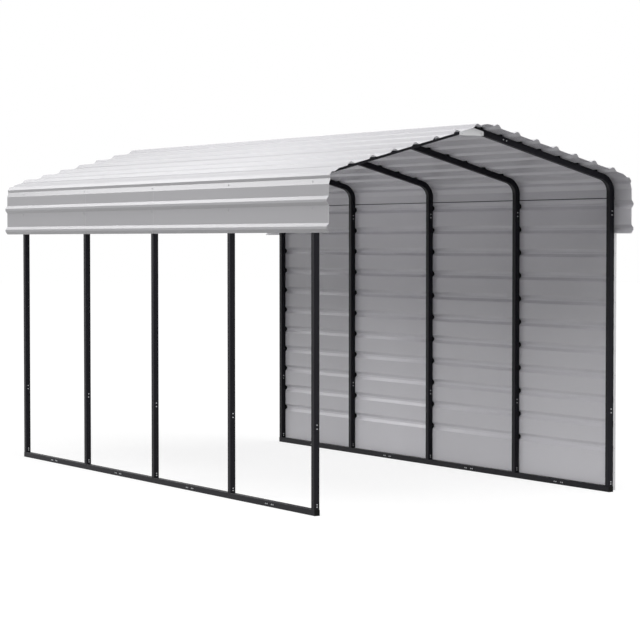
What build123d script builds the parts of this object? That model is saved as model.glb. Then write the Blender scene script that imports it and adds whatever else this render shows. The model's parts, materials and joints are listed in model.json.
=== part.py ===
"""Steel carport: five bents of square tube on two ground rails, with ribbed sheet over the roof and eaves
and down one side.

Lengths are in millimetres. +X points to the clad side, -Y to the front opening and +Z up from the ground.
The origin is on the ground, half-way along the roof and half-way across it.
"""
import os
from math import cos, radians, sin, tan

from build123d import *

os.makedirs("parts", exist_ok=True)

# Overall layout
front_bay = 1365.0
other_bay = 1412.0
other_bay_count = 3
front_overhang = 253.0
rear_overhang = 407.0
frame_width = 3142.0
apex_height = 3216.0
roof_slope = 15.0  # degrees
eave_bend_radius = 165.0
peak_bend_radius = 175.0

# Square tube and its push-fit joints
tube = 50.8
tube_edge = 3.0
tube_wall = 1.5
nipple_length = 95.0
stub_height = 62.0
fit_clearance = 0.3
seam_gap = 0.4
lower_leg_length = 640.0
rafter_foot_length = 228.0
peak_arm = 320.0
cap_thickness = 3.0
cap_plug_depth = 14.0

# Ribbed sheet
sheet_thickness = 1.0
sheet_gap = 0.3
rib_pitch = 217.0
rib_height = 22.0
rib_base = 76.0
rib_top = 20.0
lap_step = 1.5
lap_lip = 14.0
lap_rib_setback = 89.0
fascia_rib_drop = 110.0
eave_hem = 2.0
eave_stand_off = 4.0
eave_flat_facings = (16.0, 56.0)  # degrees that the two flats of the bend face up
bend_rib_height = 20.0
bend_rib_angles = (24.5, 30.5, 42.0, 48.0)  # degrees round the bend from its foot

# Side wall, its end trims and the plate on the front peak
wall_foot = 15.0
wall_plinth_least = 180.0
wall_sheet_rib_count = 3
trim_thickness = 1.0
trim_flange = 32.0
plate_half_width = 127.0
plate_top_drop = 19.0
plate_drop = 90.0
plate_thickness = 2.5
plate_corner = 6.0

# Places of the bents, the ground rails' splices and the tube joints
slope = radians(roof_slope)
frame_half_width = frame_width / 2
leg_x = frame_half_width - tube / 2
bays = [front_bay] + [other_bay] * other_bay_count
roof_length = front_overhang + sum(bays) + rear_overhang
frame_places = [front_overhang - roof_length / 2 + sum(bays[:index]) for index in range(len(bays) + 1)]
rail_start = frame_places[0] - tube / 2
rail_end = frame_places[-1] + tube / 2
rail_splices = [(near + far) / 2 for near, far in zip(frame_places, frame_places[1:])]
bend_tangent = eave_bend_radius * tan((radians(90) - slope) / 2)
bend_foot_height = apex_height - frame_half_width * tan(slope) - bend_tangent
leg_splice_height = tube + lower_leg_length
rafter_joint_height = bend_foot_height - rafter_foot_length
centreline_apex = apex_height - tube / 2 / cos(slope)
socket_depth = nipple_length + fit_clearance

# Places of the ribs: down the roof slope from the ridge, and up the wall from the ground
ridge_margin = rib_base / 2 + lap_lip + peak_bend_radius * tan(slope)
roof_lap_place = frame_half_width / cos(slope) - bend_tangent - lap_rib_setback
roof_rib_count = 1 + int((roof_lap_place - ridge_margin) / rib_pitch)
roof_ribs = [roof_lap_place - index * rib_pitch for index in reversed(range(roof_rib_count))]
wall_top_rib = bend_foot_height - fascia_rib_drop
wall_rib_count = 1 + int((wall_top_rib - wall_foot - wall_plinth_least) / rib_pitch)
wall_ribs = [wall_top_rib - index * rib_pitch for index in reversed(range(wall_rib_count))]
fascia_ribs = wall_ribs[-2:]
eave_foot_height = fascia_ribs[0] - rib_base / 2 - eave_hem
sides = {"left": -1, "right": 1}

# Cross-sections of the tube, its bore and its necked end, all inset from one outline
with BuildSketch() as tube_outline:
    Rectangle(tube, tube)
    chamfer(tube_outline.vertices(), length=tube_edge)


def inset(depth):
    """Outline that lies the given depth inside the tube's own."""
    with BuildSketch() as outline:
        add(tube_outline.sketch)
        offset(amount=-depth, kind=Kind.INTERSECTION)
    return outline.sketch


tube_bore = inset(tube_wall)
nipple = inset(tube_wall + fit_clearance)
nipple_bore = inset(2 * tube_wall + fit_clearance)

with BuildSketch() as tube_ring:
    add(tube_outline.sketch)
    add(tube_bore, mode=Mode.SUBTRACT)

with BuildSketch() as neck_ring:
    add(inset(tube_wall / 2))
    add(nipple_bore, mode=Mode.SUBTRACT)

with BuildSketch() as nipple_ring:
    add(nipple)
    add(nipple_bore, mode=Mode.SUBTRACT)


def bent_plane(side, place):
    """Plane across the carport, with its x running outwards on the given side and its y up."""
    return Plane(origin=(0, place, 0), x_dir=(side, 0, 0), z_dir=(0, -side, 0))


def slope_plane(side):
    """Plane across one roof slope, with its x running down from the ridge and its y off the rafters."""
    downhill = (side * cos(slope), 0, -sin(slope))
    return Plane(origin=(0, 0, apex_height), x_dir=downhill, z_dir=(0, -side, 0))


def add_tube(plane, length):
    """Add a hollow square tube that starts at the plane and runs along its normal."""
    with BuildSketch(plane) as section:
        add(tube_ring.sketch)
    extrude(section.sketch, amount=length)


def add_nipple(plane):
    """Add the necked end that stands out from the plane and slides into the next tube."""
    shoulder = plane.offset(-tube_wall)
    with BuildSketch(shoulder) as neck:
        add(neck_ring.sketch)
    extrude(neck.sketch, amount=tube_wall)
    with BuildSketch(shoulder) as spigot:
        add(nipple_ring.sketch)
    extrude(spigot.sketch, amount=tube_wall + nipple_length)


def cut_socket(plane):
    """Cut the bore that takes the next tube's nipple, against the plane's normal."""
    with BuildSketch(plane) as mouth:
        add(tube_bore)
    extrude(mouth.sketch, amount=-socket_depth, mode=Mode.SUBTRACT)


def rib_outline(places, levels):
    """Corners of a run of ribs: places along the sheet, and how far each rib's foot is off the frame."""
    corners = []
    for place, level in zip(places, levels):
        corners += [
            (place - rib_base / 2, level),
            (place - rib_top / 2, level + rib_height),
            (place + rib_top / 2, level + rib_height),
            (place + rib_base / 2, level),
        ]
    return corners


def on_slope(place, height):
    """Point across the carport at a place down the roof slope and a height off the rafters."""
    return (place * cos(slope) + height * sin(slope), apex_height - place * sin(slope) + height * cos(slope))


def base_rail(name, side):
    """Ground rail of one side: a length for each leg, pushed into the next in mid-bay."""
    starts = [rail_start] + [splice + seam_gap for splice in rail_splices]
    ends = rail_splices + [rail_end]
    with BuildPart() as rail:
        for start, end in zip(starts, ends):
            along = Plane(origin=(side * leg_x, start, tube / 2), x_dir=(1, 0, 0), z_dir=(0, 1, 0))
            add_tube(along, end - start)
            if end < rail_end:
                add_nipple(along.offset(end - start))
    rail.part.label = name
    export_step(rail.part, f"parts/{name}.step")


def leg_stubs(name, side):
    """Short uprights, welded on top of one ground rail, that the legs slide down over."""
    with BuildPart() as stubs:
        for place in frame_places:
            with BuildSketch(Plane(origin=(side * leg_x, place, tube))):
                add(nipple_ring.sketch)
            extrude(amount=stub_height)
    stubs.part.label = name
    export_step(stubs.part, f"parts/{name}.step")


def leg(name, side, place):
    """Leg of one bent: a short lower length and a long upper one, pushed together."""
    foot = Plane(origin=(side * leg_x, place, tube + seam_gap))
    splice = Plane(origin=(side * leg_x, place, leg_splice_height))
    head = Plane(origin=(side * leg_x, place, rafter_joint_height))
    with BuildPart() as post:
        add_tube(foot, splice.origin.Z - foot.origin.Z)
        add_nipple(splice)
        add_tube(splice.offset(seam_gap), head.origin.Z - splice.origin.Z - seam_gap)
        add_nipple(head)
    post.part.label = name
    export_step(post.part, f"parts/{name}.step")


def rafter(name, side, place):
    """Rafter that turns down round the eave to meet its leg, with a socket in each end."""
    foot_height = rafter_joint_height + seam_gap
    corner_height = centreline_apex - leg_x * tan(slope)
    upper_end = (peak_arm + seam_gap) * cos(slope)
    upper_height = centreline_apex - (peak_arm + seam_gap) * sin(slope)
    with BuildPart() as beam:
        with BuildLine(bent_plane(side, place)) as route:
            FilletPolyline(
                (leg_x, foot_height),
                (leg_x, corner_height),
                (upper_end, upper_height),
                radius=eave_bend_radius - tube / 2,
            )
        foot = Plane(origin=route.line @ 0, x_dir=(1, 0, 0), z_dir=(0, 0, 1))
        with BuildSketch(foot):
            add(tube_outline.sketch)
        sweep(path=route.line)
        cut_socket(Plane(origin=route.line @ 0, x_dir=(1, 0, 0), z_dir=(0, 0, -1)))
        cut_socket(Plane(origin=route.line @ 1, x_dir=(0, 1, 0), z_dir=route.line % 1))
    beam.part.label = name
    export_step(beam.part, f"parts/{name}.step")


def peak_connector(name, place):
    """Bent length at the ridge that joins the two rafters of a bent, necked at both ends."""
    arm_end = peak_arm * cos(slope)
    arm_height = centreline_apex - peak_arm * sin(slope)
    with BuildPart() as connector:
        with BuildLine(bent_plane(1, place)) as route:
            FilletPolyline(
                (-arm_end, arm_height),
                (0, centreline_apex),
                (arm_end, arm_height),
                radius=peak_bend_radius - tube / 2,
            )
        start = Plane(origin=route.line @ 0, x_dir=(0, 1, 0), z_dir=route.line % 0)
        with BuildSketch(start):
            add(tube_outline.sketch)
        sweep(path=route.line)
        for end, heading in ((route.line @ 0, -(route.line % 0)), (route.line @ 1, route.line % 1)):
            with BuildSketch(Plane(origin=end, x_dir=(0, 1, 0), z_dir=heading)):
                add(nipple)
            extrude(amount=nipple_length)
    connector.part.label = name
    export_step(connector.part, f"parts/{name}.step")


def roof_sheet(name, side, first_rib, last_rib):
    """Flat ribbed sheet of one roof slope, whose lowest rib rides on the next sheet's top rib."""
    ribs = roof_ribs[first_rib : last_rib + 1]
    levels = [sheet_gap] * (len(ribs) - 1) + [sheet_gap + lap_step]
    upper_edge = (ribs[0] - rib_base / 2 - lap_lip, levels[0])
    lower_edge = (ribs[-1] + rib_base / 2 + lap_lip, levels[-1])
    with BuildPart() as sheet:
        with BuildSketch(slope_plane(side)):
            with BuildLine():
                Polyline(upper_edge, *rib_outline(ribs, levels), lower_edge)
                offset(amount=sheet_thickness, side=Side.LEFT)
            make_face()
        extrude(amount=roof_length / 2, both=True)
    sheet.part.label = name
    export_step(sheet.part, f"parts/{name}.step")


def ridge_sheet(name):
    """Sheet bent over the ridge, whose two ribs ride on the top ribs of the slopes below."""
    level = sheet_gap + lap_step
    bend_start = peak_bend_radius * tan(slope)
    rib = rib_outline(roof_ribs[:1], [level])
    down_slope = [(bend_start, level)] + rib + [(rib[-1][0] + lap_lip, level)]
    right = [on_slope(*corner) for corner in down_slope]
    left = [(-across, height) for across, height in reversed(right)]
    with BuildPart() as sheet:
        with BuildSketch(bent_plane(1, 0)):
            with BuildLine():
                up = Polyline(*left)
                JernArc(up @ 1, up % 1, peak_bend_radius + level, -2 * roof_slope)
                Polyline(*right)
                offset(amount=sheet_thickness, side=Side.LEFT)
            make_face()
        extrude(amount=roof_length / 2, both=True)
    sheet.part.label = name
    export_step(sheet.part, f"parts/{name}.step")


def polar_point(centre, reach, angle):
    """Point at a reach from a centre, at an angle in degrees up from the outward direction."""
    return (centre[0] + reach * cos(radians(angle)), centre[1] + reach * sin(radians(angle)))


def flat_point(centre, reach, facing, angle):
    """Point at an angle round a centre, on the flat that touches the circle of that reach where it faces."""
    return polar_point(centre, reach / cos(radians(angle - facing)), angle)


def eave_sheet(name, side):
    """Sheet that turns round the eave: two ribs on the fascia, one on the bend and one under the roof sheet.

    The bend's rib stands between two flats, and the sheet is creased where they meet the fascia and the slope.
    It stands off the legs far enough for the wall sheet to be tucked up inside it.
    """
    face = frame_half_width + eave_stand_off
    foot = (face + sheet_gap, eave_foot_height)
    fascia = rib_outline(fascia_ribs, [face + sheet_gap] * len(fascia_ribs))
    centre = (face - eave_bend_radius, bend_foot_height - eave_stand_off * tan(slope))
    skin = eave_bend_radius + sheet_gap
    lower_facing, upper_facing = eave_flat_facings
    rib_foot, crest_start, crest_end, rib_head = bend_rib_angles
    bend = [
        flat_point(centre, skin, lower_facing, lower_facing / 2),
        flat_point(centre, skin, lower_facing, rib_foot),
        polar_point(centre, skin + bend_rib_height, crest_start),
        polar_point(centre, skin + bend_rib_height, crest_end),
        flat_point(centre, skin, upper_facing, rib_head),
        flat_point(centre, skin, upper_facing, (upper_facing + 90 - roof_slope) / 2),
    ]
    lap = rib_outline(roof_ribs[-1:], [sheet_gap])
    lap_edge = (lap[0][0] - lap_lip, sheet_gap)
    with BuildPart() as sheet:
        with BuildSketch(bent_plane(side, 0)):
            with BuildLine():
                fascia_run = [(across, height) for height, across in fascia]
                lap_run = [on_slope(*corner) for corner in reversed([lap_edge] + lap)]
                Polyline(foot, *fascia_run, *bend, *lap_run)
                offset(amount=sheet_thickness, side=Side.RIGHT)
            make_face()
        extrude(amount=roof_length / 2, both=True)
    sheet.part.label = name
    export_step(sheet.part, f"parts/{name}.step")


def wall_sheet(name, first_rib, last_rib):
    """Flat ribbed sheet of the side wall, whose lowest rib rides on the top rib of the sheet below."""
    ribs = wall_ribs[first_rib : last_rib + 1]
    levels = [sheet_gap + lap_step] + [sheet_gap] * (len(ribs) - 1)
    foot = ribs[0] - rib_base / 2 - lap_lip
    if first_rib == 0:
        levels[0] = sheet_gap
        foot = wall_foot
    head = ribs[-1] + rib_base / 2 + lap_lip
    mid = (rail_start + rail_end) / 2
    across = Plane(origin=(frame_half_width, mid, 0), x_dir=(0, 0, 1), z_dir=(0, 1, 0))
    with BuildPart() as sheet:
        with BuildSketch(across):
            with BuildLine():
                Polyline((foot, levels[0]), *rib_outline(ribs, levels), (head, levels[-1]))
                offset(amount=sheet_thickness, side=Side.LEFT)
            make_face()
        extrude(amount=(rail_end - rail_start) / 2, both=True)
    sheet.part.label = name
    export_step(sheet.part, f"parts/{name}.step")


def wall_trim(name, edge, outward):
    """Angle that closes the rib ends at one edge of the wall, from its foot up to the eave sheet."""
    trim_top = eave_foot_height - sheet_gap
    web_width = sheet_gap + lap_step + rib_height + sheet_thickness + sheet_gap + trim_thickness
    corner = (frame_half_width + web_width, edge + outward * (sheet_gap + trim_thickness))
    with BuildPart() as trim:
        with BuildSketch(Plane.XY.offset(wall_foot)):
            with Locations(corner):
                web_align = (Align.MAX, Align.MAX if outward > 0 else Align.MIN)
                Rectangle(web_width, trim_thickness, align=web_align)
                Rectangle(trim_thickness, trim_flange, align=web_align)
        extrude(amount=trim_top - wall_foot)
    trim.part.label = name
    export_step(trim.part, f"parts/{name}.step")


def peak_plate(name):
    """Bare plate on the front of the first bent, cut to the roof's pitch, that covers the ridge joint."""
    front = frame_places[0] - tube / 2
    top = apex_height - plate_top_drop
    shoulder = top - plate_half_width * tan(slope)
    bottom = apex_height - plate_drop
    with BuildPart() as plate:
        with BuildSketch(bent_plane(1, front)):
            with BuildLine():
                FilletPolyline(
                    (-plate_half_width, bottom),
                    (plate_half_width, bottom),
                    (plate_half_width, shoulder),
                    (0, top),
                    (-plate_half_width, shoulder),
                    radius=[plate_corner, plate_corner, plate_corner, peak_bend_radius, plate_corner],
                    close=True,
                )
            make_face()
        extrude(amount=plate_thickness)
    plate.part.label = name
    export_step(plate.part, f"parts/{name}.step")


def rail_end_caps(name):
    """Plugs that close the open ends of the two ground rails."""
    with BuildPart() as caps:
        for side in sides.values():
            for end, outward in ((rail_start, -1), (rail_end, 1)):
                face = Plane(origin=(side * leg_x, end, tube / 2), x_dir=(1, 0, 0), z_dir=(0, outward, 0))
                with BuildSketch(face):
                    add(tube_outline.sketch)
                extrude(amount=cap_thickness)
                with BuildSketch(face):
                    add(nipple)
                extrude(amount=-cap_plug_depth)
    caps.part.label = name
    export_step(caps.part, f"parts/{name}.step")


for side_name, side in sides.items():
    base_rail(f"base_rail_{side_name}", side)
    leg_stubs(f"leg_stubs_{side_name}", side)
    for number, place in enumerate(frame_places, start=1):
        leg(f"leg_{side_name}_{number}", side, place)
        rafter(f"rafter_{side_name}_{number}", side, place)
    middle_rib = roof_rib_count // 2
    roof_sheet(f"roof_sheet_{side_name}_upper", side, 0, middle_rib)
    roof_sheet(f"roof_sheet_{side_name}_lower", side, middle_rib, roof_rib_count - 1)
    eave_sheet(f"eave_sheet_{side_name}", side)

for number, place in enumerate(frame_places, start=1):
    peak_connector(f"peak_connector_{number}", place)

ridge_sheet("ridge_sheet")

wall_lap_ribs = list(range(wall_rib_count - wall_sheet_rib_count, 0, -wall_sheet_rib_count))[::-1]
wall_starts = [0] + wall_lap_ribs
wall_ends = wall_lap_ribs + [wall_rib_count - 1]
for number, (first_rib, last_rib) in enumerate(zip(wall_starts, wall_ends), start=1):
    wall_sheet(f"wall_sheet_{number}", first_rib, last_rib)
wall_trim("wall_trim_front", rail_start, -1)
wall_trim("wall_trim_back", rail_end, 1)

peak_plate("peak_plate")
rail_end_caps("rail_end_caps")
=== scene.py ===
"""Looks of the steel carport on its CAD frame.

The tubes, ribbed sheets, trims and caps get their finishes. Screws, the sheets' end laps, and black blocks
and a black strip that paint the shade in the ribs' hollows and at the wall's head are added as new pieces. A
pale studio floor, soft lamps and the photograph's camera complete the scene.

Lengths are in metres. +X points to the clad side, -Y to the front opening and +Z up from the ground.
"""
import json
from math import cos, radians, sin

import bmesh
import bpy
from mathutils import Matrix, Vector


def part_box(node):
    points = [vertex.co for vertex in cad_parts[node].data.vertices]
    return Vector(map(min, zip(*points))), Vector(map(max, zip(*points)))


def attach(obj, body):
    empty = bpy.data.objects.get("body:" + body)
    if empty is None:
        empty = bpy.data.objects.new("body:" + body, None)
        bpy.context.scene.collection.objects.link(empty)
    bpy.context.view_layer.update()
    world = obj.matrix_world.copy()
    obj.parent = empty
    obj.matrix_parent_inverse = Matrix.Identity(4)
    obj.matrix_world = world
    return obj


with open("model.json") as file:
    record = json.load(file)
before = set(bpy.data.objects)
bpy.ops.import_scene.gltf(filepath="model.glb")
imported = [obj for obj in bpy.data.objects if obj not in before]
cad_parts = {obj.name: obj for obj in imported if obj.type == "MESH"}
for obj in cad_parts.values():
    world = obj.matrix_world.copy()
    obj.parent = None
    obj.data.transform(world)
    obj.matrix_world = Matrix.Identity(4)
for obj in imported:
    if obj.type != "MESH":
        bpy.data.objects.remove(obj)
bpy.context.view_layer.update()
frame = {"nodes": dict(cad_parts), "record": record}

# Sizes of the tubes and sheets, as they were built
roof_slope = radians(15)
rib_pitch = 0.217
rib_half_base = 0.038
roof_rib_count = 7
wall_rib_count = 11
fascia_rib_count = 2
lowest_roof_rib = 1.4108  # down the slope from the apex
apex_over_ridge = 0.0016  # from the ridge sheet's rounded top up to where the two slopes' lines meet
eave_hem = 0.002
fascia_rib_drop = 0.110  # from the foot of the eave's bend down to the upper fascia rib
nipple_length = 0.095
lower_leg_length = 0.640

# Lines of the frame that the screws, laps and the black blocks of painted shade follow
sides = {"left": -1, "right": 1}
bent_numbers = range(1, 6)
bents = [sum(corner.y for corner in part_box(f"leg_left_{number}")) / 2 for number in bent_numbers]
rail_splices = [(near + far) / 2 for near, far in zip(bents, bents[1:])]
end_laps = bents[2:4]
leg_low, leg_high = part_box("leg_right_1")
tube = leg_high.x - leg_low.x
leg_x = (leg_low.x + leg_high.x) / 2
clad_face = leg_high.x  # outer face of the legs that carry the wall
leg_splice = tube + lower_leg_length
leg_head = leg_high.z - nipple_length
apex_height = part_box("ridge_sheet")[1].z + apex_over_ridge
lower_fascia_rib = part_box("eave_sheet_left")[0].z + eave_hem + rib_half_base
upper_fascia_rib = lower_fascia_rib + rib_pitch
eave_bend_foot = upper_fascia_rib + fascia_rib_drop
wall_ribs = [upper_fascia_rib - rib_pitch * index for index in range(wall_rib_count)]
open_wall_ribs = wall_ribs[fascia_rib_count:]
roof_ribs = [lowest_roof_rib - rib_pitch * index for index in range(roof_rib_count)]

# Colours and coats
sheet_grey = (0.462, 0.457, 0.477)
sheet_roughness = 0.27
backing_shade = 1.92  # the backing coat on the inner side is so many times as light as the outer coat
coat_changes = (-0.012, 0.02)  # change in tone at each end lap, on the outer side
middle_length_painted_light = (0.20, -0.20)  # on the inner side, painted light: the middle length, between the two end laps, is made lighter and the back length is not
trim_white = (0.75, 0.75, 0.76)
trim_roughness = 0.4
plate_white = (0.80, 0.805, 0.81)
plate_roughness = 0.45
tube_black = (0.0094, 0.0092, 0.0124)
tube_roughness = 0.44
tube_gloss = 0.13
# black of the caps and washers, and of the pieces that paint shade in the ribs' hollows and at the wall's
# head
moulding_and_shade_black = (0.004, 0.004, 0.004)
moulding_gloss = 0.12
zinc_grey = (0.56, 0.565, 0.58)
noise_start, noise_end = 0.3, 0.7  # most of a noise lies between these
shoulder_height = 2.2  # outwards is level below this height and leans upwards over it
shoulder_lean = 1.5

# Screws: widths of their washers, and their places on what they hold
frame_screw = 0.0120
sheet_screw = 0.0125
trim_screw = 0.0100
foot_screws = (0.022, 0.041)  # over the ground rail
splice_screws = (0.018, 0.050)  # over the splice of a leg's two lengths
head_screws = (0.025, 0.060)  # over a leg's head
peak_screws = (0.350, 0.385)  # down the slope from the apex
rail_screws = (-0.060, -0.036, 0.036, 0.060)  # along a ground rail from its splice
rib_screw_gap = 0.020
fascia_screw_gap = 0.018
bend_screw_rise = 0.046  # over the foot of the eave's bend
plate_screw_inset = 0.028
plate_screw_rise = 0.016
well_outside = 0.4  # how far out the line starts that looks for a screw's seat

# Layers of a screw from its seat up: washer, flange, hexagon head and the head's chamfered top. Each has two
# heights as shares of the screw's width, the radii there as shares of its half width, and a count of sides.
screw_layer_shares = (
    (0.00, 0.10, 1.00, 0.96, 14),
    (0.10, 0.20, 0.94, 0.80, 14),
    (0.20, 0.46, 0.68, 0.68, 6),
    (0.46, 0.52, 0.68, 0.544, 6),
)

# End laps
lap_half_width = 0.035
lap_thickness = 0.0006
weld_distance = 0.00001
least_outward = 0.05  # faces that look out less than this are left out of a lap
least_rim = 0.7  # faces that look along the carport more than this are a lap's rim

# Black blocks that paint the shade in the ribs' hollows over the tubes: half widths at foot and crown, and
# height off the tube
wall_shade_block = (0.028, 0.0095, 0.0195)
roof_shade_block = (0.018, 0.008, 0.0135)
shade_block_seat = 0.0004
shade_block_end_inset = 0.001
shade_block_edge = 0.0015

# Black strip between the head of the wall and the eave sheet: painted shadow of the gap there
strip_gap = 0.0016
strip_thickness = 0.0024
strip_foot_drop = 0.012
strip_head_rise = 0.007
strip_edge_height = 0.0012
strip_edge_width = 0.0008

# Studio floor: levels of what it shows and of the light that it gives back
floor_reach = 90
floor_segments = 96
shadow_level = 0.3
glow_near, glow_far = 0.8, 1.0
fade_start, fade_end = 4, 16
# painted fill light: between the legs the floor gives back more than twice as much light, to lift the shade
# under the roof
bounce_outside, painted_fill_bounce = 0.26, 0.58
ambient_level = 0.06

# Soft lamps: place, width and height, and power in watts
lamps = {
    "overhead_lamp": ((0, -1.0, 9.5), (13.0, 13.0), 1170),
    "side_lamp": ((-22.8, 1.0, 12.5), (10.0, 13.0), 2600),
    "front_lamp": ((4.0, -24.0, 5.0), (14.0, 8.0), 2250),
    "rear_lamp": ((-8.7, 17.0, 11.2), (11.0, 9.0), 1180),
}
sheen_lamp = "rear_lamp"
lamp_aim = Vector((0, 0, 1.2))

# Camera
camera_place = (-10.7345, -17.4884, 2.2383)
camera_pitch = radians(90 - 2.137)
camera_turn = radians(-32.293)
camera_lens = 119.77
camera_sensor = 36
camera_reach = 300


# Node patterns
def new_finish(name):
    """New material, with its node tree and the tree's shader."""
    finish = bpy.data.materials.new(name)
    finish.use_nodes = True
    tree = finish.node_tree
    return finish, tree, tree.nodes["Principled BSDF"]


def feed(tree, socket, value):
    """Give a socket a plain number, or the output of another node."""
    if isinstance(value, (int, float)):
        socket.default_value = value
    else:
        tree.links.new(value, socket)


def calculate(tree, operation, first, second=0.0):
    """Sum, product or comparison of two values, either of which may be a plain number."""
    step = tree.nodes.new("ShaderNodeMath")
    step.operation = operation
    feed(tree, step.inputs[0], first)
    feed(tree, step.inputs[1], second)
    return step.outputs["Value"]


def mapped(tree, source, low, high, start=0.0, end=1.0):
    """A value that goes from the low to the high one as the source goes from the start to the end."""
    span = tree.nodes.new("ShaderNodeMapRange")
    feed(tree, span.inputs["From Min"], start)
    feed(tree, span.inputs["From Max"], end)
    feed(tree, span.inputs["To Min"], low)
    feed(tree, span.inputs["To Max"], high)
    feed(tree, span.inputs["Value"], source)
    return span.outputs["Result"]


def ranged(tree, noise, low, high):
    """The usual range of a noise, stretched to go from the low value to the high one."""
    return mapped(tree, noise, low, high, noise_start, noise_end)


def own_place(tree):
    """The piece's own coordinates."""
    return tree.nodes.new("ShaderNodeTexCoord").outputs["Object"]


def own_axes(tree):
    """The piece's own coordinates, apart as X, Y and Z."""
    split = tree.nodes.new("ShaderNodeSeparateXYZ")
    tree.links.new(own_place(tree), split.inputs["Vector"])
    return split.outputs


def grain(tree, stretch, detail):
    """Noise over the piece's own coordinates, with so many features a metre along X, Y and Z."""
    spread = tree.nodes.new("ShaderNodeMapping")
    spread.inputs["Scale"].default_value = stretch
    noise = tree.nodes.new("ShaderNodeTexNoise")
    noise.inputs["Scale"].default_value = 1.0
    noise.inputs["Detail"].default_value = detail
    tree.links.new(own_place(tree), spread.inputs["Vector"])
    tree.links.new(spread.outputs["Vector"], noise.inputs["Vector"])
    return noise.outputs["Fac"]


def tinted(tree, colour, brightness):
    """The colour made lighter or darker by a brightness that varies over the surface."""
    tint = tree.nodes.new("ShaderNodeMix")
    tint.data_type = "RGBA"
    tint.blend_type = "MULTIPLY"
    tint.inputs["Factor"].default_value = 1.0
    base, shade = [socket for socket in tint.inputs if socket.type == "RGBA"]
    base.default_value = (*colour, 1.0)
    tree.links.new(brightness, shade)
    return next(socket for socket in tint.outputs if socket.type == "RGBA")


def relief(tree, shader, *layers):
    """Bump of one or more layers, each a height pattern and its depth."""
    under = None
    for pattern, depth in layers:
        bump = tree.nodes.new("ShaderNodeBump")
        bump.inputs["Strength"].default_value = 1.0
        bump.inputs["Distance"].default_value = depth
        tree.links.new(pattern, bump.inputs["Height"])
        if under is not None:
            tree.links.new(under, bump.inputs["Normal"])
        under = bump.outputs["Normal"]
    tree.links.new(under, shader.inputs["Normal"])


def outer_side(tree):
    """1 on the faces that look out of the carport and 0 on the ones that look in."""
    axes = own_axes(tree)
    above = calculate(tree, "MAXIMUM", calculate(tree, "SUBTRACT", axes["Z"], shoulder_height))
    outwards = tree.nodes.new("ShaderNodeCombineXYZ")
    tree.links.new(axes["X"], outwards.inputs["X"])
    tree.links.new(calculate(tree, "MULTIPLY", above, shoulder_lean), outwards.inputs["Z"])
    surface = tree.nodes.new("ShaderNodeNewGeometry")
    facing = tree.nodes.new("ShaderNodeVectorMath")
    facing.operation = "DOT_PRODUCT"
    tree.links.new(surface.outputs["True Normal"], facing.inputs[0])
    tree.links.new(outwards.outputs["Vector"], facing.inputs[1])
    return calculate(tree, "GREATER_THAN", facing.outputs["Value"])


def lengths_tone_and_painted_light(tree, tone, changes):
    """The tone of the front length of sheet, and behind each end lap the change that comes there. The outer
    coat's changes are real steps in tone, and the inner side's are painted light.
    """
    axes = own_axes(tree)
    for lap, change in zip(end_laps, changes):
        behind = calculate(tree, "GREATER_THAN", axes["Y"], lap)
        tone = calculate(tree, "ADD", calculate(tree, "MULTIPLY", behind, change), tone)
    return tone


# Finishes
def coated_sheet(name, colour, roughness, inner_shade=1.0):
    """Coil-coated steel: faint streaks along the sheet, shallow waves in its flats and a fine skin.

    The backing coat on the inner side is so many times as light as the colour. On the middle length, between
    the end laps, the inner faces are made lighter still: painted light.
    """
    finish, tree, shader = new_finish(name)
    streaks = grain(tree, stretch=(38, 0.35, 38), detail=3.0)
    clouds = grain(tree, stretch=(1.1, 0.8, 1.6), detail=3.0)
    waves = grain(tree, stretch=(2.2, 1.5, 2.2), detail=1.0)
    skin = grain(tree, stretch=(420, 420, 420), detail=1.0)
    streaked = ranged(tree, streaks, low=0.997, high=1.002)
    clouded = ranged(tree, clouds, low=0.992, high=1.006)
    # painted light: the inner faces of the middle length are made lighter here
    inner_tone_and_painted_light = lengths_tone_and_painted_light(tree, inner_shade, middle_length_painted_light)
    outer_tone = lengths_tone_and_painted_light(tree, 1.0, coat_changes)
    tone = mapped(tree, outer_side(tree), inner_tone_and_painted_light, outer_tone)
    brightness = calculate(tree, "MULTIPLY", calculate(tree, "MULTIPLY", streaked, clouded), tone)
    tree.links.new(tinted(tree, colour, brightness), shader.inputs["Base Color"])
    sheen = ranged(tree, skin, low=roughness - 0.02, high=roughness + 0.03)
    tree.links.new(sheen, shader.inputs["Roughness"])
    wave_depth = 0.0007
    skin_depth = 0.00002
    relief(tree, shader, (waves, wave_depth), (skin, skin_depth))
    return finish


def powder_coat(name, colour, roughness):
    """Satin powder coat: fine orange peel, and a slight drift in tone along each tube."""
    finish, tree, shader = new_finish(name)
    peel = grain(tree, stretch=(260, 260, 260), detail=2.0)
    drift = grain(tree, stretch=(5, 5, 5), detail=3.0)
    brightness = ranged(tree, drift, low=0.86, high=1.14)
    tree.links.new(tinted(tree, colour, brightness), shader.inputs["Base Color"])
    sheen = ranged(tree, peel, low=roughness - 0.06, high=roughness + 0.08)
    tree.links.new(sheen, shader.inputs["Roughness"])
    shader.inputs["Specular IOR Level"].default_value = tube_gloss
    peel_depth = 0.00006
    relief(tree, shader, (peel, peel_depth))
    return finish


def zinc_plate(name, colour):
    """Bright zinc plating, a little blotched."""
    finish, tree, shader = new_finish(name)
    blotch = grain(tree, stretch=(240, 240, 240), detail=3.0)
    brightness = ranged(tree, blotch, low=0.85, high=1.08)
    tree.links.new(tinted(tree, colour, brightness), shader.inputs["Base Color"])
    sheen = ranged(tree, blotch, low=0.24, high=0.4)
    tree.links.new(sheen, shader.inputs["Roughness"])
    shader.inputs["Metallic"].default_value = 1.0
    blotch_depth = 0.00003
    relief(tree, shader, (blotch, blotch_depth))
    return finish


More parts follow.
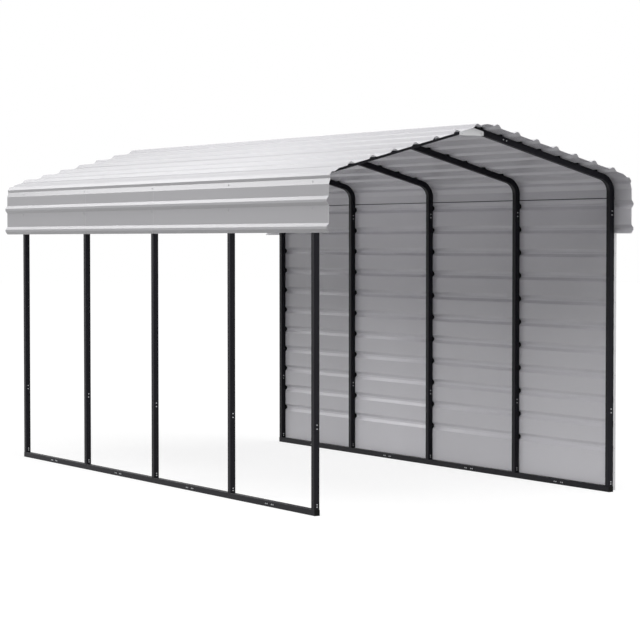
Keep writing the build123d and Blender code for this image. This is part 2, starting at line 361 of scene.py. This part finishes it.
def moulded_and_shade_black(name, colour):
    """Black plastic of the caps and washers, with a fine moulded grain. It is also laid on the black pieces
    that paint shade.
    """
    finish, tree, shader = new_finish(name)
    pits = grain(tree, stretch=(700, 700, 700), detail=2.0)
    brightness = ranged(tree, pits, low=0.8, high=1.2)
    tree.links.new(tinted(tree, colour, brightness), shader.inputs["Base Color"])
    sheen = ranged(tree, pits, low=0.5, high=0.68)
    tree.links.new(sheen, shader.inputs["Roughness"])
    shader.inputs["Specular IOR Level"].default_value = moulding_gloss
    pit_depth = 0.00005
    relief(tree, shader, (pits, pit_depth))
    return finish


finishes = {
    "black_tube": powder_coat("black_powder_coat", tube_black, tube_roughness),
    "roof_sheet": coated_sheet("coated_roof_sheet", sheet_grey, sheet_roughness, backing_shade),
    "wall_sheet": coated_sheet("coated_wall_sheet", sheet_grey, sheet_roughness, backing_shade),
    "edge_trim": coated_sheet("coated_trim", trim_white, trim_roughness),
    "peak_plate": coated_sheet("coated_plate", plate_white, plate_roughness),
    "cap_plastic": moulded_and_shade_black("moulded_cap_and_shade", moulding_and_shade_black),
    "zinc_screw": zinc_plate("zinc_plating", zinc_grey),
}
for row in frame["record"]["subparts"]:
    node = frame["nodes"][row["node"]]
    node.data.materials.clear()
    node.data.materials.append(finishes[row["material_slot"]])


# Pieces that ride on the frame
def add_piece(name, mesh, slot, *materials):
    """Turn a finished bmesh into a piece of the carport."""
    data = bpy.data.meshes.new(name)
    mesh.to_mesh(data)
    mesh.free()
    for material in materials:
        data.materials.append(material)
    piece = bpy.data.objects.new(name, data)
    bpy.context.scene.collection.objects.link(piece)
    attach(piece, "root")


def on_slope(side, along, off=0.0):
    """Place across the carport and height of a point so far down a roof slope and so far off it."""
    across = along * cos(roof_slope) + off * sin(roof_slope)
    height = apex_height - along * sin(roof_slope) + off * cos(roof_slope)
    return side * across, height


def slope_facing(side):
    """The way that a roof slope faces."""
    return Vector((side * sin(roof_slope), 0, cos(roof_slope)))


def seat_on(nodes, start, heading):
    """Where a line from the start first meets one of these nodes, and the way its surface faces there."""
    met = []
    for node in nodes:
        hit, place, facing, _ = frame["nodes"][node].ray_cast(start, heading)
        if hit:
            met.append(((place - start).length, place, facing))
    _, place, facing = min(met, key=lambda found: found[0])
    return place, facing


def turned_layer(mesh, seat, low, high, wide, narrow, segments, paint):
    """Add one turned layer of a screw, between two heights over its seat, with its radii at both."""
    place, facing = seat
    upright = facing.to_track_quat("Z", "Y").to_matrix().to_4x4()
    middle = Matrix.Translation(place + facing * (low + high) / 2)
    made = bmesh.ops.create_cone(
        mesh,
        cap_ends=True,
        segments=segments,
        radius1=wide,
        radius2=narrow,
        depth=high - low,
        matrix=middle @ upright,
    )
    for face in {face for vert in made["verts"] for face in vert.link_faces}:
        face.material_index = paint


def hex_screw(mesh, seat, width, washer_paint=0):
    """Add a self-drilling screw on its seat. Its washer, the first layer, may have a paint of its own."""
    paint = washer_paint
    for low, high, wide, narrow, segments in screw_layer_shares:
        heights = (low * width, high * width)
        radii = (wide * width / 2, narrow * width / 2)
        turned_layer(mesh, seat, *heights, *radii, segments, paint)
        paint = 0


def frame_screws():
    """Bright screws of the push-fit joints, on the legs' fronts, the rails' left faces and by the peaks."""
    mesh = bmesh.new()
    backwards = Vector((0, 1, 0))
    rightwards = Vector((1, 0, 0))
    leg_heights = [tube + rise for rise in foot_screws] + [leg_splice + rise for rise in splice_screws]
    for side_name, side in sides.items():
        for number, bent in zip(bent_numbers, bents):
            leg = f"leg_{side_name}_{number}"
            rafter = f"rafter_{side_name}_{number}"
            places = [(leg, side * leg_x, height) for height in leg_heights]
            places += [(rafter, side * leg_x, leg_head + rise) for rise in head_screws]
            for along in peak_screws:
                across, height = on_slope(side, along)
                places.append((rafter, across, height - tube / 2))
            for node, across, height in places:
                seat = seat_on([node], Vector((across, bent - well_outside, height)), backwards)
                hex_screw(mesh, seat, frame_screw)
        for splice in rail_splices:
            for offset in rail_screws:
                start = Vector((side * leg_x - well_outside, splice + offset, tube / 2))
                seat = seat_on([f"base_rail_{side_name}"], start, rightwards)
                hex_screw(mesh, seat, frame_screw)
    add_piece("frame_screws", mesh, "zinc_screw", finishes["zinc_screw"])


def sheet_screws():
    """Painted screws on dark washers, beside the ribs wherever a sheet crosses a bent."""
    mesh = bmesh.new()
    dark_paint = 1
    beside = rib_half_base + rib_screw_gap
    fascia_heights = (upper_fascia_rib - rib_half_base - fascia_screw_gap, eave_bend_foot + bend_screw_rise)
    wall_sheets = [node for node in frame["nodes"] if node.startswith("wall_sheet")]
    for bent in bents:
        for side_name, side in sides.items():
            eave_sheet = f"eave_sheet_{side_name}"
            roof_sheets = [f"roof_sheet_{side_name}_upper", f"roof_sheet_{side_name}_lower"]
            for rib in roof_ribs:
                across, height = on_slope(side, rib - beside, well_outside)
                start = Vector((across, bent, height))
                seat = seat_on(roof_sheets + [eave_sheet, "ridge_sheet"], start, -slope_facing(side))
                hex_screw(mesh, seat, sheet_screw, dark_paint)
            for height in fascia_heights:
                start = Vector((side * (leg_x + well_outside), bent, height))
                seat = seat_on([eave_sheet], start, Vector((-side, 0, 0)))
                hex_screw(mesh, seat, sheet_screw, dark_paint)
        for rib in open_wall_ribs:
            start = Vector((leg_x + well_outside, bent, rib - beside))
            seat = seat_on(wall_sheets, start, Vector((-1, 0, 0)))
            hex_screw(mesh, seat, sheet_screw, dark_paint)
    add_piece("sheet_screws", mesh, "zinc_screw", finishes["roof_sheet"], finishes["cap_plastic"])


def trim_screws():
    """Small screws at rib pitch down the two trims that close the wall's edges, and on the peak plate."""
    mesh = bmesh.new()
    heights = open_wall_ribs + [open_wall_ribs[-1] - rib_pitch]
    for trim, heading in (("wall_trim_front", 1), ("wall_trim_back", -1)):
        trim_low, trim_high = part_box(trim)
        for height in heights:
            start = Vector(((trim_low.x + trim_high.x) / 2, trim_low.y - heading * well_outside, height))
            seat = seat_on([trim], start, Vector((0, heading, 0)))
            hex_screw(mesh, seat, trim_screw)
    plate_low, plate_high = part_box("peak_plate")
    plate_screw_x = plate_high.x - plate_screw_inset
    for side in sides.values():
        start = Vector((side * plate_screw_x, plate_low.y - well_outside, plate_low.z + plate_screw_rise))
        seat = seat_on(["peak_plate"], start, Vector((0, 1, 0)))
        hex_screw(mesh, seat, trim_screw)
    add_piece("trim_screws", mesh, "zinc_screw", finishes["zinc_screw"])


def add_bar(mesh, outline, near, far):
    """Add a bar with this outline across the carport, from one place along it to another."""
    end = mesh.faces.new([mesh.verts.new((across, near, height)) for across, height in outline])
    drawn = bmesh.ops.extrude_face_region(mesh, geom=[end])["geom"]
    far_verts = [item for item in drawn if isinstance(item, bmesh.types.BMVert)]
    bmesh.ops.translate(mesh, verts=far_verts, vec=(0, far - near, 0))


def shade_block_section(foot, crown, height):
    """Outline of a black block of painted shade, as places along the sheet and heights off the tube."""
    return [(-foot, shade_block_seat), (-crown, height), (crown, height), (foot, shade_block_seat)]


def rib_shade_blocks():
    """Black blocks in the ribs' hollows, wherever a rib of the roof or the wall crosses a tube: painted shade
    of those hollows.

    The two top ribs of the wall have none at the front bent, where the photograph shows none.
    """
    mesh = bmesh.new()
    half_length = tube / 2 - shade_block_end_inset
    wall_section = shade_block_section(*wall_shade_block)
    roof_section = shade_block_section(*roof_shade_block)
    # painted shade: a black block fills each rib's hollow over the tube
    for bent in bents:
        near = bent - half_length
        far = bent + half_length
        ribs_with_shade_blocks = open_wall_ribs if bent == bents[0] else wall_ribs
        for rib in ribs_with_shade_blocks:
            outline = [(clad_face + off, rib + along) for along, off in wall_section]
            add_bar(mesh, outline, near, far)
        for side in sides.values():
            for rib in roof_ribs:
                outline = [on_slope(side, rib + along, off) for along, off in roof_section]
                add_bar(mesh, outline, near, far)
    bmesh.ops.recalc_face_normals(mesh, faces=mesh.faces[:])
    bmesh.ops.bevel(
        mesh, geom=mesh.edges[:], offset=shade_block_edge, affect="EDGES", segments=1, profile=0.5, material=-1
    )
    add_piece("rib_shade_blocks", mesh, "cap_plastic", finishes["cap_plastic"])


def lap_shadow_strip():
    """Dark strip in the gap between the wall's head and the eave sheet, with its upper edges cut off: painted
    shadow of that gap.
    """
    mesh = bmesh.new()
    wall_low, wall_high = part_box("wall_sheet_4")
    inner = clad_face + strip_gap
    outer = inner + strip_thickness
    foot = wall_high.z - strip_foot_drop
    head = wall_high.z + strip_head_rise
    outline = [
        (inner, foot),
        (outer, foot),
        (outer, head - strip_edge_height),
        (outer - strip_edge_width, head),
        (inner + strip_edge_width, head),
        (inner, head - strip_edge_height),
    ]
    # painted shadow: the strip darkens the gap along the wall's head
    add_bar(mesh, outline, wall_low.y, wall_high.y)
    bmesh.ops.recalc_face_normals(mesh, faces=mesh.faces[:])
    add_piece("lap_shadow_strip", mesh, "cap_plastic", finishes["cap_plastic"])


def lap_band(node, lap, outward):
    """Thin band over the outer face of a sheet, where one of its lengths laps over the next."""
    band = bmesh.new()
    band.from_mesh(frame["nodes"][node].data)
    bmesh.ops.remove_doubles(band, verts=band.verts[:], dist=weld_distance)
    for facing in (-1, 1):
        rim = (0, lap + facing * lap_half_width, 0)
        whole = band.verts[:] + band.edges[:] + band.faces[:]
        bmesh.ops.bisect_plane(band, geom=whole, plane_co=rim, plane_no=(0, facing, 0), clear_outer=True)
    unseen = [face for face in band.faces if face.normal.dot(outward) < least_outward]
    bmesh.ops.delete(band, geom=unseen, context="FACES")
    bmesh.ops.solidify(band, geom=band.faces[:], thickness=-lap_thickness)
    rim_faces = [face for face in band.faces if abs(face.normal.y) > least_rim]
    for edge in {edge for face in rim_faces for edge in face.edges}:
        edge.smooth = False
    return band


def end_lap(name, node, outward):
    """The two end laps of one run of sheet, as one piece."""
    mesh = bmesh.new()
    for lap in end_laps:
        band = lap_band(node, lap, outward)
        data = bpy.data.meshes.new("lap")
        band.to_mesh(data)
        band.free()
        mesh.from_mesh(data)
        bpy.data.meshes.remove(data)
    add_piece(name, mesh, "roof_sheet", finishes["roof_sheet"])


def roof_end_laps():
    """End laps of the roof, eave and ridge sheets."""
    half_way_up = (radians(90) - roof_slope) / 2
    for side_name, side in sides.items():
        for part in ("upper", "lower"):
            end_lap(f"end_lap_roof_{side_name}_{part}", f"roof_sheet_{side_name}_{part}", slope_facing(side))
        eave_facing = Vector((side * cos(half_way_up), 0, sin(half_way_up)))
        end_lap(f"end_lap_eave_{side_name}", f"eave_sheet_{side_name}", eave_facing)
    end_lap("end_lap_ridge", "ridge_sheet", Vector((0, 0, 1)))


frame_screws()
sheet_screws()
trim_screws()
rib_shade_blocks()
lap_shadow_strip()
roof_end_laps()


# Studio: floor, light and camera
def seen_directly(tree):
    """1 for what is seen, straight or in a reflection or through glass, and 0 for light that bounces."""
    path = tree.nodes.new("ShaderNodeLightPath")
    shown = calculate(tree, "MAXIMUM", path.outputs["Is Camera Ray"], path.outputs["Is Glossy Ray"])
    return calculate(tree, "MAXIMUM", shown, path.outputs["Is Transmission Ray"])


# Mask of the floor where it gives back painted fill light
def inside_carport(tree):
    """1 on the floor between the two rows of legs, and 0 beyond them."""
    axes = own_axes(tree)
    within_width = calculate(tree, "LESS_THAN", calculate(tree, "ABSOLUTE", axes["X"]), leg_x)
    within_length = calculate(tree, "LESS_THAN", calculate(tree, "ABSOLUTE", axes["Y"]), bents[-1])
    return calculate(tree, "MULTIPLY", within_width, within_length)


def floor_finish():
    """Floor that looks white and keeps a soft shadow. It gives back plain light outside the legs, and more
    than twice as much between them, as painted fill light that lifts the shade under the roof.
    """
    finish, tree, shader = new_finish("pale_floor")
    nodes, links = tree.nodes, tree.links
    nodes.remove(shader)
    bounce = nodes.new("ShaderNodeBsdfDiffuse")
    # painted fill light: the floor between the legs gives back more light
    bounce_with_painted_fill = mapped(tree, inside_carport(tree), bounce_outside, painted_fill_bounce)
    links.new(bounce_with_painted_fill, bounce.inputs["Color"])
    shadow = nodes.new("ShaderNodeBsdfDiffuse")
    shadow.inputs["Color"].default_value = (shadow_level, shadow_level, shadow_level, 1)
    distance = nodes.new("ShaderNodeVectorMath")
    distance.operation = "LENGTH"
    links.new(own_place(tree), distance.inputs[0])
    fade = mapped(tree, distance.outputs["Value"], glow_near, glow_far, fade_start, fade_end)
    fade.node.interpolation_type = "SMOOTHSTEP"
    glow = nodes.new("ShaderNodeEmission")
    links.new(fade, glow.inputs["Strength"])
    pale = nodes.new("ShaderNodeAddShader")
    links.new(shadow.outputs["BSDF"], pale.inputs[0])
    links.new(glow.outputs["Emission"], pale.inputs[1])
    choice = nodes.new("ShaderNodeMixShader")
    links.new(seen_directly(tree), choice.inputs["Fac"])
    links.new(bounce.outputs["BSDF"], choice.inputs[1])
    links.new(pale.outputs["Shader"], choice.inputs[2])
    links.new(choice.outputs["Shader"], nodes["Material Output"].inputs["Surface"])
    return finish


def studio_floor():
    """Wide round floor under the carport."""
    mesh = bmesh.new()
    bmesh.ops.create_circle(mesh, cap_ends=True, segments=floor_segments, radius=floor_reach)
    data = bpy.data.meshes.new("studio_floor")
    mesh.to_mesh(data)
    mesh.free()
    data.materials.append(floor_finish())
    floor = bpy.data.objects.new("studio_floor", data)
    bpy.context.scene.collection.objects.link(floor)


def soft_lamp(name, place, size, power):
    """Wide lamp that isn't seen itself, turned to the middle of the carport.

    The sheen lamp only shows mirrored in the coats, and the others only light them.
    """
    lamp = bpy.data.lights.new(name, "AREA")
    lamp.shape = "RECTANGLE"
    lamp.size, lamp.size_y = size
    lamp.energy = power
    hung = bpy.data.objects.new(name, lamp)
    hung.location = place
    hung.rotation_euler = (lamp_aim - Vector(place)).to_track_quat("-Z", "Y").to_euler()
    hung.visible_camera = False
    hung.visible_glossy = name == sheen_lamp
    hung.visible_diffuse = name != sheen_lamp
    bpy.context.scene.collection.objects.link(hung)


def studio_light():
    """Soft lamps in a room that is white to look at and dim as a light."""
    world = bpy.data.worlds.new("white_room")
    bpy.context.scene.world = world
    world.use_nodes = True
    tree = world.node_tree
    backdrop = tree.nodes["Background"]
    backdrop.inputs["Color"].default_value = (1, 1, 1, 1)
    level = mapped(tree, seen_directly(tree), ambient_level, 1.0)
    tree.links.new(level, backdrop.inputs["Strength"])
    for name, (place, size, power) in lamps.items():
        soft_lamp(name, place, size, power)


def studio_camera():
    """Camera where the photograph was taken from."""
    lens = bpy.data.cameras.new("camera")
    lens.lens = camera_lens
    lens.sensor_width = camera_sensor
    lens.clip_end = camera_reach
    camera = bpy.data.objects.new("camera", lens)
    camera.location = camera_place
    camera.rotation_euler = (camera_pitch, 0, camera_turn)
    bpy.context.scene.collection.objects.link(camera)
    bpy.context.scene.camera = camera


studio_floor()
studio_light()
studio_camera()
bpy.context.scene.view_settings.view_transform = "Standard"

bpy.context.view_layer.update()
